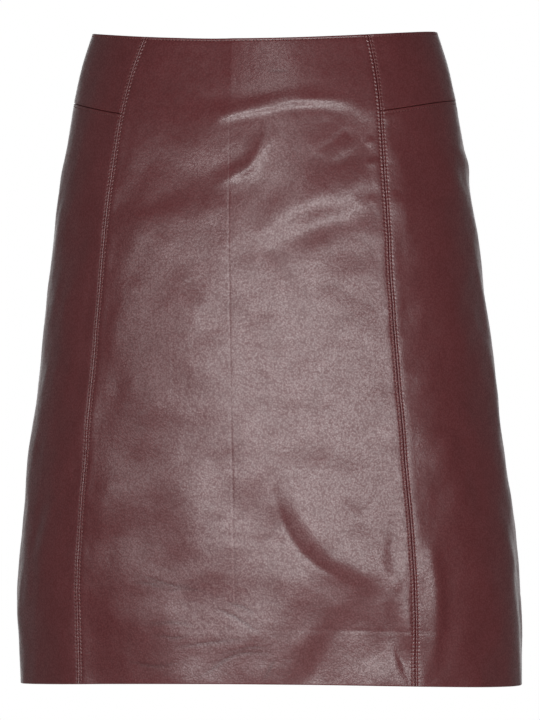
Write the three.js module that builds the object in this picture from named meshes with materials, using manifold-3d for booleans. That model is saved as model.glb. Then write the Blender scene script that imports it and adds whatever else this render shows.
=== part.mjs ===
// A leather A-line mini skirt, filled out as it is worn with nobody in it and held up at its waist.
// Millimetres, +Z up, the front towards -Y. The origin is the middle of the waist opening.
// Left and right are the wearer's, so the left side is towards +X.
// Each panel is a closed shell over one shared form, and the panels meet at their seams.
import * as THREE from "three";
import { mergeVertices } from "three/addons/utils/BufferGeometryUtils.js";
import Module from "manifold-3d";

// Driving dimensions, in millimetres and degrees.
const skirtLength = 488; // waist to hem, at the side
const leather = 1.4; // nappa and its thin backing
const hemTurn = 40; // allowance folded up inside the hem and glued
const hemLayer = 1.2; // what the folded allowance adds to the wall
const seamGap = 0.3; // between the edges of two panels
const waistDipFront = 7; // the waist is cut lower at the centre front
const waistDipBack = 4; // and a little lower at the centre back
const hemRise = 5; // the hem is cut higher at the centre front
const princessAngle = 41.6; // princess seams, before and behind, from the centre line
const closingIn = { angle: 2.1, depth: 30 }; // the front ones close in at the waist, and this fades below
const frontSwing = { angle: 3.4, depth: 75, lower: 0.6 }; // the front is drawn to the wearer's left
const hipSeamDepth = 52; // hip seam below the waist, at the side
const hipSeamDip = 18; // how much lower its line would be at the centre
const lean = 4.8; // how far the hem hangs over to the wearer's left

// Centre-back zip: a concealed one, so only its pull shows between the panels' edges.
const zipLength = 200;
const zipTop = 5; // the tapes start this far below the waist edge
const zipGap = 1.6; // between the leather edges, and between the tapes
const zipRunOut = 14; // length over which that gap closes to a plain seam
const tapeWidth = 12;
const tape = 1;
const tapeClearance = 0.6; // behind the leather's inner face
const sliderDepth = 13; // middle of the slider below the waist level
const sliderBody = { width: 7, height: 9, thickness: 2.6, corner: 1.5, clearance: 0.5 };
const neck = { thickness: 1, halfHeight: 2.4, hingeOut: 2.2, eyeRadius: 2, holeRadius: 1.1 };
const pull = { length: 22, topWidth: 4.8, endWidth: 6.4, thickness: 1.1, windowWidth: 2.2, windowEnd: 4.2 };
const pullTilt = 3.4; // the pull leans in until its end rests on the leather

// Level sections of the form: half the width, and the depth before and behind the middle.
const sections = [
  { below: 0, halfWidth: 130, before: 95, behind: 97 },
  { below: 26, halfWidth: 138.5, before: 100.5, behind: 105 },
  { below: 56, halfWidth: 145, before: 107, behind: 112 },
  { below: 101, halfWidth: 152.5, before: 115, behind: 121 },
  { below: 146, halfWidth: 159.3, before: 121.5, behind: 127 },
  { below: 191, halfWidth: 164, before: 126, behind: 131 },
  { below: 326, halfWidth: 181, before: 133, behind: 137 },
  { below: 386, halfWidth: 188, before: 135.5, behind: 139.5 },
  { below: 431, halfWidth: 190.7, before: 137, behind: 140.5 },
  { below: 489, halfWidth: 189.6, before: 138, behind: 141 },
];

// The largest folds. Each runs from (angle, below) to (toAngle, toBelow), with angles in degrees from
// the centre front towards the wearer's left. Bow bends its line sideways, width is half its breadth,
// and height is its rise out of the form, or below nought a trough.
const folds = [
  { angle: -35, below: 67, toAngle: 36, toBelow: 55, bow: 5, width: 7, height: 1.7 },
  { angle: -12, below: 57, toAngle: 30, toBelow: 42, bow: 3, width: 7, height: -1.3 },
  { angle: -38, below: 134, toAngle: 8, toBelow: 80, bow: -16, width: 7, height: 1.7 },
  { angle: -1, below: 163, toAngle: 41, toBelow: 101, bow: 3, width: 13, height: 1.8 },
  { angle: 2, below: 172, toAngle: 39, toBelow: 132, bow: 3, width: 10, height: -1.6 },
  { angle: 22, below: 92, toAngle: 35, toBelow: 79, bow: 2, width: 5, height: -1.1 },
  { angle: 7, below: 322, toAngle: 33, toBelow: 410, bow: -14, width: 10, height: -3.4 },
  { angle: 3, below: 335, toAngle: 22, toBelow: 415, bow: -10, width: 6, height: 1.6 },
  { angle: 26, below: 410, toAngle: 14, toBelow: 489, bow: -5, width: 11, height: -2.8 },
  { angle: 38, below: 425, toAngle: 37, toBelow: 500, bow: 2, width: 6, height: -2.2 },
  { angle: 47, below: 375, toAngle: 46, toBelow: 480, bow: 3, width: 8, height: 2 },
  { angle: -36, below: 270, toAngle: -18, toBelow: 440, bow: 8, width: 15, height: -1.8 },
  { angle: 74, below: 92, toAngle: 118, toBelow: 118, bow: 6, width: 8, height: 1.6 },
  { angle: -70, below: 100, toAngle: -112, toBelow: 132, bow: -6, width: 9, height: 1.4 },
  { angle: 84, below: 330, toAngle: 96, toBelow: 500, bow: 5, width: 16, height: -2 },
  { angle: -98, below: 300, toAngle: -84, toBelow: 505, bow: -6, width: 17, height: -2.2 },
  { angle: 146, below: 66, toAngle: 174, toBelow: 78, bow: 4, width: 7, height: 1.8 },
  { angle: -144, below: 74, toAngle: -172, toBelow: 60, bow: -4, width: 7, height: 1.6 },
  { angle: 150, below: 228, toAngle: 205, toBelow: 262, bow: -9, width: 11, height: -2.2 },
  { angle: -166, below: 300, toAngle: -148, toBelow: 430, bow: 10, width: 12, height: -3 },
  { angle: 158, below: 330, toAngle: 170, toBelow: 500, bow: -6, width: 13, height: -2.6 },
  { angle: 122, below: 300, toAngle: 134, toBelow: 470, bow: 8, width: 12, height: 1.8 },
];

const degree = Math.PI / 180;
const sideways = new THREE.Vector3(1, 0, 0);

// How steeply one column of the section table runs at a row, from the rows above and below it.
function rowSlope(index, column) {
  const above = sections[Math.max(index - 1, 0)];
  const under = sections[Math.min(index + 1, sections.length - 1)];
  return (under[column] - above[column]) / (under.below - above.below);
}

// A column of the section table at any depth, as a smooth cubic between its rows.
function sectionValue(below, column) {
  const last = sections.length - 2;
  const index = sections.findIndex((row, i) => i === last || below <= sections[i + 1].below);
  const start = sections[index];
  const end = sections[index + 1];
  const span = end.below - start.below;
  const t = (below - start.below) / span;
  const rise = end[column] - start[column];
  const bendStart = rowSlope(index, column) * span - rise;
  const bendEnd = rise - rowSlope(index + 1, column) * span;
  return start[column] + t * rise + t * (1 - t) * ((1 - t) * bendStart + t * bendEnd);
}

// The form before its folds: a half ellipse before the middle and a deeper one behind it.
function formPoint(angle, below) {
  const halfWidth = sectionValue(below, "halfWidth");
  const depth = sectionValue(below, Math.cos(angle) > 0 ? "before" : "behind");
  const sway = lean * (below / skirtLength) ** 2;
  return new THREE.Vector3(halfWidth * Math.sin(angle) + sway, -depth * Math.cos(angle), -below);
}

// The outward direction: the way down the form crossed with the way round it.
function formNormal(angle, below) {
  const around = formPoint(angle + degree, below).sub(formPoint(angle - degree, below));
  const down = formPoint(angle, below + 1).sub(formPoint(angle, below - 1));
  return down.cross(around).normalize();
}

// Millimetres round the form for each radian of angle.
function girthReach(angle, below) {
  const around = formPoint(angle + degree, below).distanceTo(formPoint(angle - degree, below));
  return around / (2 * degree);
}

// How far the folds lift the leather: each is a bell across its bowed line and fades to its two ends.
function foldHeight(angle, below) {
  let height = 0;
  for (const fold of folds) {
    const middleAngle = ((fold.angle + fold.toAngle) / 2) * degree;
    const reach = girthReach(middleAngle, (fold.below + fold.toBelow) / 2);
    const runAround = (fold.toAngle - fold.angle) * degree * reach;
    const runDown = fold.toBelow - fold.below;
    const length = Math.hypot(runAround, runDown);
    const turned = angle - fold.angle * degree;
    const around = Math.atan2(Math.sin(turned), Math.cos(turned)) * reach;
    const down = below - fold.below;
    const along = (around * runAround + down * runDown) / length ** 2;
    if (along <= 0 || along >= 1) continue;
    const bowed = fold.bow * 4 * along * (1 - along);
    const across = (around * runDown - down * runAround) / length - bowed;
    height += fold.height * Math.sin(Math.PI * along) * Math.exp(-((across / fold.width) ** 2));
  }
  return height;
}

// A point of the skirt, moved inwards from its outer face.
function skirtPoint(angle, below, inwards) {
  const lift = foldHeight(angle, below) - inwards;
  return formPoint(angle, below).addScaledVector(formNormal(angle, below), lift);
}

function waistEdge(angle) {
  const dip = Math.cos(angle) > 0 ? waistDipFront : waistDipBack;
  return dip * Math.cos(angle) ** 2;
}

function hemEdge(angle) {
  return skirtLength - hemRise * Math.max(Math.cos(angle), 0) ** 2;
}

function hipSeam(angle) {
  return hipSeamDepth + hipSeamDip * Math.cos(angle) ** 2;
}

// Half the gap between the two back panels: wide along the zip, then a plain seam.
function backGap(below) {
  const closing = THREE.MathUtils.smoothstep(below, zipLength, zipLength + zipRunOut);
  return THREE.MathUtils.lerp(zipGap, seamGap, closing) / 2;
}

// An angle moved round the form by some millimetres.
function shiftAngle(angle, below, distance) {
  return angle + distance / girthReach(angle, below);
}

// A closed shell from two grids, outer(row, column) and inner(row, column), joined round the edges.
function shellGeometry(rows, columns, outer, inner) {
  const points = [];
  for (const face of [outer, inner]) {
    for (let row = 0; row <= rows; row++) {
      for (let column = 0; column <= columns; column++) points.push(face(row, column));
    }
  }
  const width = columns + 1;
  const layer = (rows + 1) * width;
  const index = [];
  const quad = (a, b, c, d) => index.push(a, b, c, a, c, d);
  for (let row = 0; row < rows; row++) {
    for (let column = 0; column < columns; column++) {
      const at = row * width + column;
      quad(at, at + width, at + width + 1, at + 1);
      quad(layer + at, layer + at + 1, layer + at + width + 1, layer + at + width);
    }
  }
  for (let column = 0; column < columns; column++) {
    const end = rows * width + column;
    quad(column, column + 1, layer + column + 1, layer + column);
    quad(end + 1, end, layer + end, layer + end + 1);
  }
  for (let row = 0; row < rows; row++) {
    const left = row * width;
    const right = left + columns;
    quad(left + width, left, layer + left, layer + left + width);
    quad(right, right + width, layer + right + width, layer + right);
  }
  const geometry = new THREE.BufferGeometry().setFromPoints(points);
  return geometry.setIndex(index);
}

// How far down a panel each grid row lies, from 0 to 1, and whether the folded hem is behind it.
function panelRows(count, panelLength, reachesHem) {
  const turnLine = reachesHem ? 1 - hemTurn / panelLength : 1;
  const rows = Array.from({ length: count + 1 }, (_, i) => ({ down: (turnLine * i) / count, hem: false }));
  if (!reachesHem) return rows;
  const hemRows = [turnLine + hemLayer / panelLength, (1 + turnLine) / 2, 1];
  return rows.concat(hemRows.map((down) => ({ down, hem: true })));
}

// A panel between two seam lines and two edges. Each seam line gives its angle at a depth.
function panelGeometry({ start, end, top, bottom, rowCount, columns, reachesHem }) {
  const angleAt = (share, below) => THREE.MathUtils.lerp(start(below), end(below), share);
  // The depth where a column meets an edge: each turn takes the edge at the angle the last depth gave.
  const meets = (edge, share) => {
    let below = skirtLength / 2;
    for (let i = 0; i < 4; i++) below = edge(angleAt(share, below));
    return below;
  };
  const panelLength = meets(bottom, 0.5) - meets(top, 0.5);
  const rows = panelRows(rowCount, panelLength, reachesHem);
  const point = (row, column, inwards) => {
    const share = column / columns;
    const below = THREE.MathUtils.lerp(meets(top, share), meets(bottom, share), rows[row].down);
    return skirtPoint(angleAt(share, below), below, inwards);
  };
  const wall = (row) => leather + (rows[row].hem ? hemLayer : 0);
  const outer = (row, column) => point(row, column, 0);
  const inner = (row, column) => point(row, column, wall(row));
  return shellGeometry(rows.length - 1, columns, outer, inner);
}

// Seam lines. Side is 1 for the wearer's left and -1 for the right, and offset is mm round the form.
const backLine = (180 - princessAngle) * degree;
const frontLine = (side, below) => {
  const apart = princessAngle - closingIn.angle * Math.exp(-below / closingIn.depth);
  const lowerSwing = frontSwing.lower * (1 - below / skirtLength);
  const swing = frontSwing.angle * Math.exp(-below / frontSwing.depth) + lowerSwing;
  return (side * apart + swing) * degree;
};
const frontSeam = (side, offset) => (below) => shiftAngle(frontLine(side, below), below, offset);
const backSeam = (side, offset) => (below) => shiftAngle(side * backLine, below, offset);
const centreBack = (side) => (below) => shiftAngle(side * Math.PI, below, -side * backGap(below));

const skirt = new THREE.Group();

// Burgundy nappa: a smooth full-grain lambskin with a low satin finish.
function nappa() {
  return new THREE.MeshStandardMaterial({ color: 0x5a2c31, roughness: 0.42, metalness: 0 });
}

function addPiece(name, geometry, material, parent = skirt) {
  const piece = new THREE.Mesh(geometry, material);
  piece.name = name;
  parent.add(piece);
  return piece;
}

// Front panel, from one princess seam to the other.
const halfSeam = seamGap / 2;
addPiece("front_panel", panelGeometry({
  start: frontSeam(-1, halfSeam), end: frontSeam(1, -halfSeam), top: waistEdge, bottom: hemEdge,
  rowCount: 34, columns: 22, reachesHem: true,
}), nappa());

// On each side: a hip yoke, a side panel under it and half of the back. A panel runs with rising angle.
for (const [sideName, side] of [["left", 1], ["right", -1]]) {
  const sidePair = [frontSeam(side, side * halfSeam), backSeam(side, -side * halfSeam)];
  const backPair = [backSeam(side, side * halfSeam), centreBack(side)];
  if (side < 0) {
    sidePair.reverse();
    backPair.reverse();
  }
  addPiece(`yoke_${sideName}`, panelGeometry({
    start: sidePair[0], end: sidePair[1], top: waistEdge, bottom: (angle) => hipSeam(angle) - halfSeam,
    rowCount: 3, columns: 12, reachesHem: false,
  }), nappa());
  addPiece(`side_panel_${sideName}`, panelGeometry({
    start: sidePair[0], end: sidePair[1], top: (angle) => hipSeam(angle) + halfSeam, bottom: hemEdge,
    rowCount: 15, columns: 12, reachesHem: true,
  }), nappa());
  addPiece(`back_panel_${sideName}`, panelGeometry({
    start: backPair[0], end: backPair[1], top: waistEdge, bottom: hemEdge,
    rowCount: 20, columns: 9, reachesHem: true,
  }), nappa());
}

// Zip tapes: two flat strips behind the edges of the back panels, made from the panels' own points.
function tapeGeometry(side) {
  const rows = 14;
  const columns = 2;
  const tapePoint = (row, column, inwards) => {
    const below = zipTop + waistDipBack + (zipLength * row) / rows;
    const away = zipGap / 2 + (tapeWidth * (side > 0 ? columns - column : column)) / columns;
    return skirtPoint(shiftAngle(side * Math.PI, below, -side * away), below, inwards);
  };
  const outerDepth = leather + tapeClearance;
  const outer = (row, column) => tapePoint(row, column, outerDepth);
  const inner = (row, column) => tapePoint(row, column, outerDepth + tape);
  return shellGeometry(rows, columns, outer, inner);
}

function tapeCloth() {
  return new THREE.MeshStandardMaterial({ color: 0x3a1c20, roughness: 0.9, metalness: 0 });
}

addPiece("zip_tape_left", tapeGeometry(1), tapeCloth());
addPiece("zip_tape_right", tapeGeometry(-1), tapeCloth());

// The zip's hardware stands on the centre back: its own Y points out of the leather and its Z up it.
const hardware = new THREE.Group();
const outwards = formNormal(Math.PI, sliderDepth);
hardware.position.copy(skirtPoint(Math.PI, sliderDepth, 0));
hardware.rotation.x = Math.atan2(outwards.z, outwards.y);
skirt.add(hardware);

const wasm = await Module();
wasm.setup();

function toSolid(geometry) {
  const bare = geometry.clone();
  bare.deleteAttribute("normal");
  bare.deleteAttribute("uv");
  const merged = mergeVertices(bare, 1e-4);
  const mesh = new wasm.Mesh({
    numProp: 3,
    vertProperties: merged.attributes.position.array,
    triVerts: new Uint32Array(merged.index.array),
  });
  return new wasm.Manifold(mesh);
}

function fromSolid(solid) {
  const mesh = solid.getMesh();
  const geometry = new THREE.BufferGeometry();
  geometry.setAttribute("position", new THREE.BufferAttribute(mesh.vertProperties, 3));
  return geometry.setIndex(new THREE.BufferAttribute(mesh.triVerts, 1));
}

const plateSettings = (depth, curveSegments) => ({ depth, curveSegments, bevelEnabled: false });

// Slider: a rounded body behind the tapes and a thin neck that comes out between the leather edges.
function sliderGeometry() {
  const { width, height, thickness, corner, clearance } = sliderBody;
  const plate = new THREE.Shape();
  plate.moveTo(-width / 2 + corner, -height / 2);
  plate.lineTo(width / 2 - corner, -height / 2);
  plate.absarc(width / 2 - corner, -height / 2 + corner, corner, -Math.PI / 2, 0);
  plate.absarc(width / 2 - corner, height / 2 - corner, corner, 0, Math.PI / 2);
  plate.absarc(-width / 2 + corner, height / 2 - corner, corner, Math.PI / 2, Math.PI);
  plate.absarc(-width / 2 + corner, -height / 2 + corner, corner, Math.PI, 1.5 * Math.PI);
  const body = new THREE.ExtrudeGeometry(plate, plateSettings(thickness, 5));
  const bodyFace = -(leather + tapeClearance + tape + clearance);
  body.rotateX(Math.PI / 2);
  body.translate(0, bodyFace, 0);

  const side = new THREE.Shape();
  side.moveTo(bodyFace - thickness / 2, -neck.halfHeight);
  side.lineTo(neck.hingeOut, -neck.eyeRadius);
  side.absarc(neck.hingeOut, 0, neck.eyeRadius, -Math.PI / 2, Math.PI / 2);
  side.lineTo(bodyFace - thickness / 2, neck.halfHeight);
  const hole = new THREE.Path();
  hole.absarc(neck.hingeOut, 0, neck.holeRadius, 0, 2 * Math.PI, true);
  side.holes.push(hole);
  const plateOut = new THREE.ExtrudeGeometry(side, plateSettings(neck.thickness, 14));
  plateOut.translate(0, 0, -neck.thickness / 2);
  // The outline was drawn in X and Y: X becomes the way out, Y the way up and the depth goes sideways.
  plateOut.applyMatrix4(new THREE.Matrix4().set(0, 0, 1, 0, 1, 0, 0, 0, 0, 1, 0, 0, 0, 0, 0, 1));
  return fromSolid(toSolid(body).add(toSolid(plateOut)));
}

// Pull: a drop-shaped plate whose top bar turns in the neck's hole.
function pullGeometry() {
  const top = pull.thickness / 2;
  const endRadius = pull.endWidth / 2;
  const drop = new THREE.Shape();
  drop.moveTo(-pull.topWidth / 2, top);
  drop.lineTo(-endRadius, -pull.length + endRadius);
  drop.absarc(0, -pull.length + endRadius, endRadius, Math.PI, 2 * Math.PI);
  drop.lineTo(pull.topWidth / 2, top);
  const opening = new THREE.Path();
  opening.moveTo(-pull.windowWidth / 2, -top);
  opening.lineTo(pull.windowWidth / 2, -top);
  opening.lineTo(pull.windowWidth / 2, -pull.windowEnd);
  opening.lineTo(-pull.windowWidth / 2, -pull.windowEnd);
  opening.closePath();
  drop.holes.push(opening);
  const plate = new THREE.ExtrudeGeometry(drop, plateSettings(pull.thickness, 10));
  plate.translate(0, 0, -pull.thickness / 2);
  return plate.rotateX(Math.PI / 2);
}

function gunmetal() {
  return new THREE.MeshStandardMaterial({ color: 0x6f6660, roughness: 0.35, metalness: 1 });
}

addPiece("zip_slider", sliderGeometry(), gunmetal(), hardware);
const pullPiece = addPiece("zip_pull", pullGeometry(), gunmetal(), hardware);
pullPiece.position.y = neck.hingeOut;
pullPiece.rotateOnAxis(sideways, -pullTilt * degree);

export default skirt;
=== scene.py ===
import math

import bpy
import numpy as np
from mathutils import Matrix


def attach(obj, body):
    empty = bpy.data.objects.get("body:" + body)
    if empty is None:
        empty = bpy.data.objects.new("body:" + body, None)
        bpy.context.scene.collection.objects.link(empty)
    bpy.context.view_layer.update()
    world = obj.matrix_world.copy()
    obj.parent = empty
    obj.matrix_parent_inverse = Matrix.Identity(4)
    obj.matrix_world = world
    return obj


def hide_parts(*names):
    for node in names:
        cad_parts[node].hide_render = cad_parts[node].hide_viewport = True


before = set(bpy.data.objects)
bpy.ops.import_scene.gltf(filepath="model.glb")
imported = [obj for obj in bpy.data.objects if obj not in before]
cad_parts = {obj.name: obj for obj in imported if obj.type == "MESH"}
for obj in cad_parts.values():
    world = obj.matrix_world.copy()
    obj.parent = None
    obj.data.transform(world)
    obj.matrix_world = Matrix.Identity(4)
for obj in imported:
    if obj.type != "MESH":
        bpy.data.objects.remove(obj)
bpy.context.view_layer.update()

# A leather A-line mini skirt, filled out with nobody in it. Lengths are in millimetres until a mesh
# is made. +Z is up and the front faces -Y. An angle runs round the skirt from the centre front towards
# the wearer's left, which is +X, and "below" is the depth under the waist.
mm = 0.001
degree = math.pi / 180
random = np.random.default_rng(11)

form = {
    "length": 488,  # waist to hem at the side
    "waistDipFront": 7,
    "waistDipBack": 4,
    "hemRise": 5,  # the hem is cut higher at the centre front
    "princess": 41.6,  # degrees from the centre line, before and behind
    "closingIn": (2.1, 30),  # the front seams close in at the waist: degrees, and the depth it fades over
    "frontSwing": (3.4, 75, 0.6),  # the front is drawn to the wearer's left there, and a little lower down
    "hipDepth": 52,  # hip seam under the waist, at the side
    "hipDip": 18,
    "lean": 4.8,  # the hem hangs over to the wearer's left
    "leather": 1.4,
    "hemTurn": 40,
    "hemLayer": 1.2,
    "seamGap": 0.3,
    "zipLength": 200,
    "zipGap": 1.6,
    "zipRunOut": 14,
}

# below the waist, half the width, depth before the middle, depth behind it
sections = np.array([
    (0, 130, 95, 97),
    (26, 138.5, 100.5, 105),
    (56, 145, 107, 112),
    (101, 152.5, 115, 121),
    (146, 159.3, 121.5, 127),
    (191, 164, 126, 131),
    (326, 181, 133, 137),
    (386, 188, 135.5, 139.5),
    (431, 190.7, 137, 140.5),
    (489, 189.6, 138, 141),
])
halfWidth, before, behind = 1, 2, 3  # the table's columns


# A smooth cubic through a run of values, sloped at each one like the line between its neighbours.
def smoothThrough(levels, values, at):
    slopes = np.empty_like(values)
    slopes[1:-1] = (values[2:] - values[:-2]) / (levels[2:] - levels[:-2])
    slopes[0] = (values[1] - values[0]) / (levels[1] - levels[0])
    slopes[-1] = (values[-1] - values[-2]) / (levels[-1] - levels[-2])
    i = np.clip(np.searchsorted(levels, at) - 1, 0, len(levels) - 2)
    span = levels[i + 1] - levels[i]
    t = (at - levels[i]) / span
    rise = values[i + 1] - values[i]
    bendStart = slopes[i] * span - rise
    bendEnd = rise - slopes[i + 1] * span
    return values[i] + t * rise + t * (1 - t) * ((1 - t) * bendStart + t * bendEnd)


# A column of the table of sections, at any depth.
def sectionValue(below, column):
    return smoothThrough(sections[:, 0], sections[:, column], below)


# The form: half an ellipse before the middle and a deeper half behind it, swung sideways with depth.
def formPoint(angle, below):
    angle, below = np.broadcast_arrays(np.asarray(angle, float), np.asarray(below, float))
    depth = np.where(np.cos(angle) > 0, sectionValue(below, before), sectionValue(below, behind))
    x = sectionValue(below, halfWidth) * np.sin(angle) + form["lean"] * (below / form["length"]) ** 2
    return np.stack([x, -depth * np.cos(angle), -below], axis=-1)


# The outward direction: the way down the form crossed with the way round it.
def formNormal(angle, below):
    around = formPoint(angle + degree, below) - formPoint(angle - degree, below)
    down = formPoint(angle, below + 1) - formPoint(angle, below - 1)
    normal = np.cross(down, around)
    return normal / np.linalg.norm(normal, axis=-1, keepdims=True)


# Millimetres round the form for each radian.
def girthReach(angle, below):
    around = formPoint(angle + degree, below) - formPoint(angle - degree, below)
    return np.linalg.norm(around, axis=-1) / (2 * degree)


# A bell curve: one at its middle, dying with the square of the offset.
def bell(offset, breadth):
    return np.exp(-((offset / breadth) ** 2))


# A cubic that eases from nought to one between two values.
def smoothstep(value, low, high):
    t = np.clip((value - low) / (high - low), 0, 1)
    return t * t * (3 - 2 * t)


# The large folds. Each row: angle and depth where it starts, angle and depth where it ends, how far its
# line bows, half its breadth, its height (a trough is below nought), how much steeper one flank is, and
# where along it the fold is highest. The last two are left out of an even fold.
evenShape = (0, 0.5)
folds = [
    (-1, 163, 41, 101, 3, 16, 1.7),
    (2, 172, 39, 132, 3, 12, -1.8),
    (47, 375, 46, 480, 3, 8, 2.0),
    (-36, 270, -18, 440, 8, 18, -0.5),
    (-41, 400, -33, 520, 3, 20, -2.6, 0, 0.6),
    (74, 92, 118, 118, 6, 8, 1.6, 0, 0.4),
    (-70, 100, -112, 132, -6, 9, 1.4, 0, 0.6),
    (84, 330, 96, 500, 5, 16, -2.0, 0, 0.6),
    (-98, 300, -84, 505, -6, 17, -2.2, 0, 0.6),
    (146, 66, 174, 78, 4, 7, 1.8),
    (-144, 74, -172, 60, -4, 7, 1.6, 0, 0.4),
    (150, 228, 205, 262, -9, 11, -2.2, 0.2, 0.5),
    (-166, 300, -148, 430, 10, 12, -3.0, 0.2, 0.5),
    (158, 330, 170, 500, -6, 13, -2.6, 0, 0.6),
    (122, 300, 134, 470, 8, 12, 1.8),
]


# How far folds lift the leather: a bell across each bowed line, dying along it with a sine.
def foldLift(angle, below, table):
    lift = np.zeros(np.broadcast(angle, below).shape)
    for a0, d0, a1, d1, bow, width, height, *shape in table:
        skew, peak = shape or evenShape
        reach = girthReach((a0 + a1) / 2 * degree, (d0 + d1) / 2)
        runAround, runDown = (a1 - a0) * degree * reach, d1 - d0
        length = math.hypot(runAround, runDown)
        turned = angle - a0 * degree
        around = np.arctan2(np.sin(turned), np.cos(turned)) * reach
        down = below - d0
        along = np.clip((around * runAround + down * runDown) / length**2, 0, 1)
        across = (around * runDown - down * runAround) / length - bow * 4 * along * (1 - along)
        side = np.where(across > 0, width * (1 + skew), width * (1 - skew))
        rise = np.sin(math.pi * along ** (math.log(0.5) / math.log(peak)))
        lift += height * rise * bell(across, side)
    return lift


# Folds and creases that curve, each drawn through points of (angle, depth) and then shaped like a large
# one: half its breadth, its height and so on. Most step under on a short flank, as leather does.
drawnFolds = [
    # across the belly, under the waist: a soft shelf, the hollow under it and the one above
    ([(-7, 66), (-3, 64), (3, 60.4), (9, 57.4), (15, 53.2), (22, 53), (30, 54.3), (35, 58), (38, 70)],
     6.5, 1.25, 0.4, 0.36),
    ([(-6, 73), (-1, 69), (9, 64.5), (18, 60.5), (27, 61), (33, 66)], 4.2, -0.45),
    ([(-24, 56), (-6, 53), (6, 50), (14, 45), (22, 45), (34, 46)], 8, -0.8),
    # the bent ridge that crosses the centre front, with a hollow on each side
    ([(-8, 117.5), (-5, 114.5), (-1.5, 110), (3.5, 102.5), (6.8, 89.3), (9, 76.7), (10, 70)],
     5.6, 1.5, 0.3, 0.55),
    ([(13, 78), (9, 100.3), (5, 115), (0.8, 122.4), (-6, 130)], 6, -0.4),
    ([(-34, 138), (-19, 125), (-12, 111), (-3.5, 103), (2, 92)], 11, -0.7),
    # short creases near the left princess seam, under the waist
    ([(22, 92.5), (27, 85), (31.2, 76.5), (33, 73)], 2.6, -0.3, 0.2, 0.5),
    ([(31, 73.5), (32, 78), (33, 83)], 2.2, -0.18),
    ([(24, 99), (30, 91), (36, 84)], 4.5, 0.4, 0.2, 0.5),
    ([(37, 102), (39.3, 100), (41.5, 97)], 3, 0.5),
    ([(38, 88), (39, 85), (40.5, 82)], 3, 0.35),
    ([(33, 127), (37, 122), (41, 121)], 4.5, -0.45),
    ([(44.5, 84), (47, 90), (50, 112)], 7, 0.7),
    ([(45, 122), (49, 145), (50, 168)], 9, 0.7, 0, 0.4),
    ([(7.5, 32.4), (11, 31.8), (15, 32.3)], 1.2, -0.16),
    # the long trough low on the left of the front and the dent beside it
    ([(12, 312), (12.9, 326), (14.2, 347), (16.8, 366), (20.5, 384), (26.5, 396), (33, 409), (37, 418)],
     22, 4.5, 0.4, 0.45),
    ([(8, 320), (8.8, 336), (10, 356), (12.5, 376), (16.5, 392), (22, 403), (28, 414)],
     3, -0.45),
    ([(24, 350), (28, 361), (31, 374)], 6, -0.4, -0.2, 0.5),
    # the hollow that runs from it to the hem, and those beside the seam
    ([(35, 414), (29, 425), (24, 442), (20, 460), (17, 482), (16, 505)], 27, -3.9, 0.5, 0.68),
    ([(-9, 405), (-3, 418), (3, 432), (5, 446)], 15, -0.8),
    ([(39, 356), (37.6, 368.6), (36.2, 390.6), (37.5, 408)], 6, -0.8),
    ([(35, 422), (35.4, 434.6), (37.4, 456.6), (40, 480), (41, 494)], 6.5, -1.6, 0.2, 0.5),
    ([(39.2, 410), (39.4, 430), (39.6, 458)], 3.5, 0.5),
    # faint ones on the right of the front, and thin creases across the hem
    ([(-20.8, 300), (-21.6, 325), (-20.5, 347), (-17, 376), (-11, 402)], 10, -0.3, 0.2, 0.5),
    ([(-14, 374), (-8.4, 376), (0.8, 376.5), (11, 379.4), (16, 384)], 4, -0.2),
    ([(-24, 402), (-20.5, 405.6), (-14.3, 411), (-8, 408.5)], 1.2, -0.1),
    ([(-25, 409), (-20, 410), (-16, 414)], 1.1, -0.06),
    ([(-17, 416), (-12, 413), (-6, 416)], 1.1, -0.06),
    ([(-6, 425), (0.6, 435.8), (6, 448)], 1.3, -0.16, 0, 0.45),
    ([(-3, 423), (1, 426), (4, 431)], 1.1, -0.08),
    ([(-16, 456.5), (-12.5, 455.3), (-6.5, 452.8), (-0.5, 450.5), (3, 451.5)], 1.2, -0.13),
    ([(-7, 470), (-5, 467), (1.7, 460), (9, 460.4)], 1.2, -0.13),
    ([(-4, 462), (3, 456), (8, 457)], 1.1, -0.08),
    ([(0, 459), (-4, 468), (-9, 479.5)], 1.2, -0.1, 0, 0.4),
    ([(5.2, 482), (7, 472), (8.6, 462)], 1.1, -0.09),
    ([(-22, 440), (-15, 438), (-9, 441)], 1.2, -0.06),
    ([(-28, 466), (-20, 470), (-13, 468)], 1.3, -0.07),
    ([(-20, 447), (-14, 449), (-10, 446)], 1.1, -0.06),
    # round the sides
    ([(60, 300), (66, 340), (64, 380)], 9, -0.9),
    ([(-58, 330), (-63, 380), (-60, 430)], 9, -0.9),
    ([(98, 418), (104, 424), (112, 423)], 2.2, -0.45),
    ([(-112, 440), (-105, 436), (-98, 438)], 2.2, -0.4),
    # across the seat, and at the back of the hem
    ([(146, 95), (154, 100), (166, 103)], 3, -0.7),
    ([(-150, 90), (-159, 97), (-170, 98)], 3, -0.7),
    ([(168, 236), (176, 240), (188, 239)], 2.8, -0.6),
    ([(-176, 262), (-168, 254), (-157, 250)], 2.8, 0.5),
    ([(160, 420), (166, 426), (173, 426)], 2, -0.42),
    ([(-172, 440), (-166, 446), (-159, 447)], 2, -0.4),
    ([(142, 436), (147, 443), (153, 445)], 2, -0.38),
]


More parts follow.
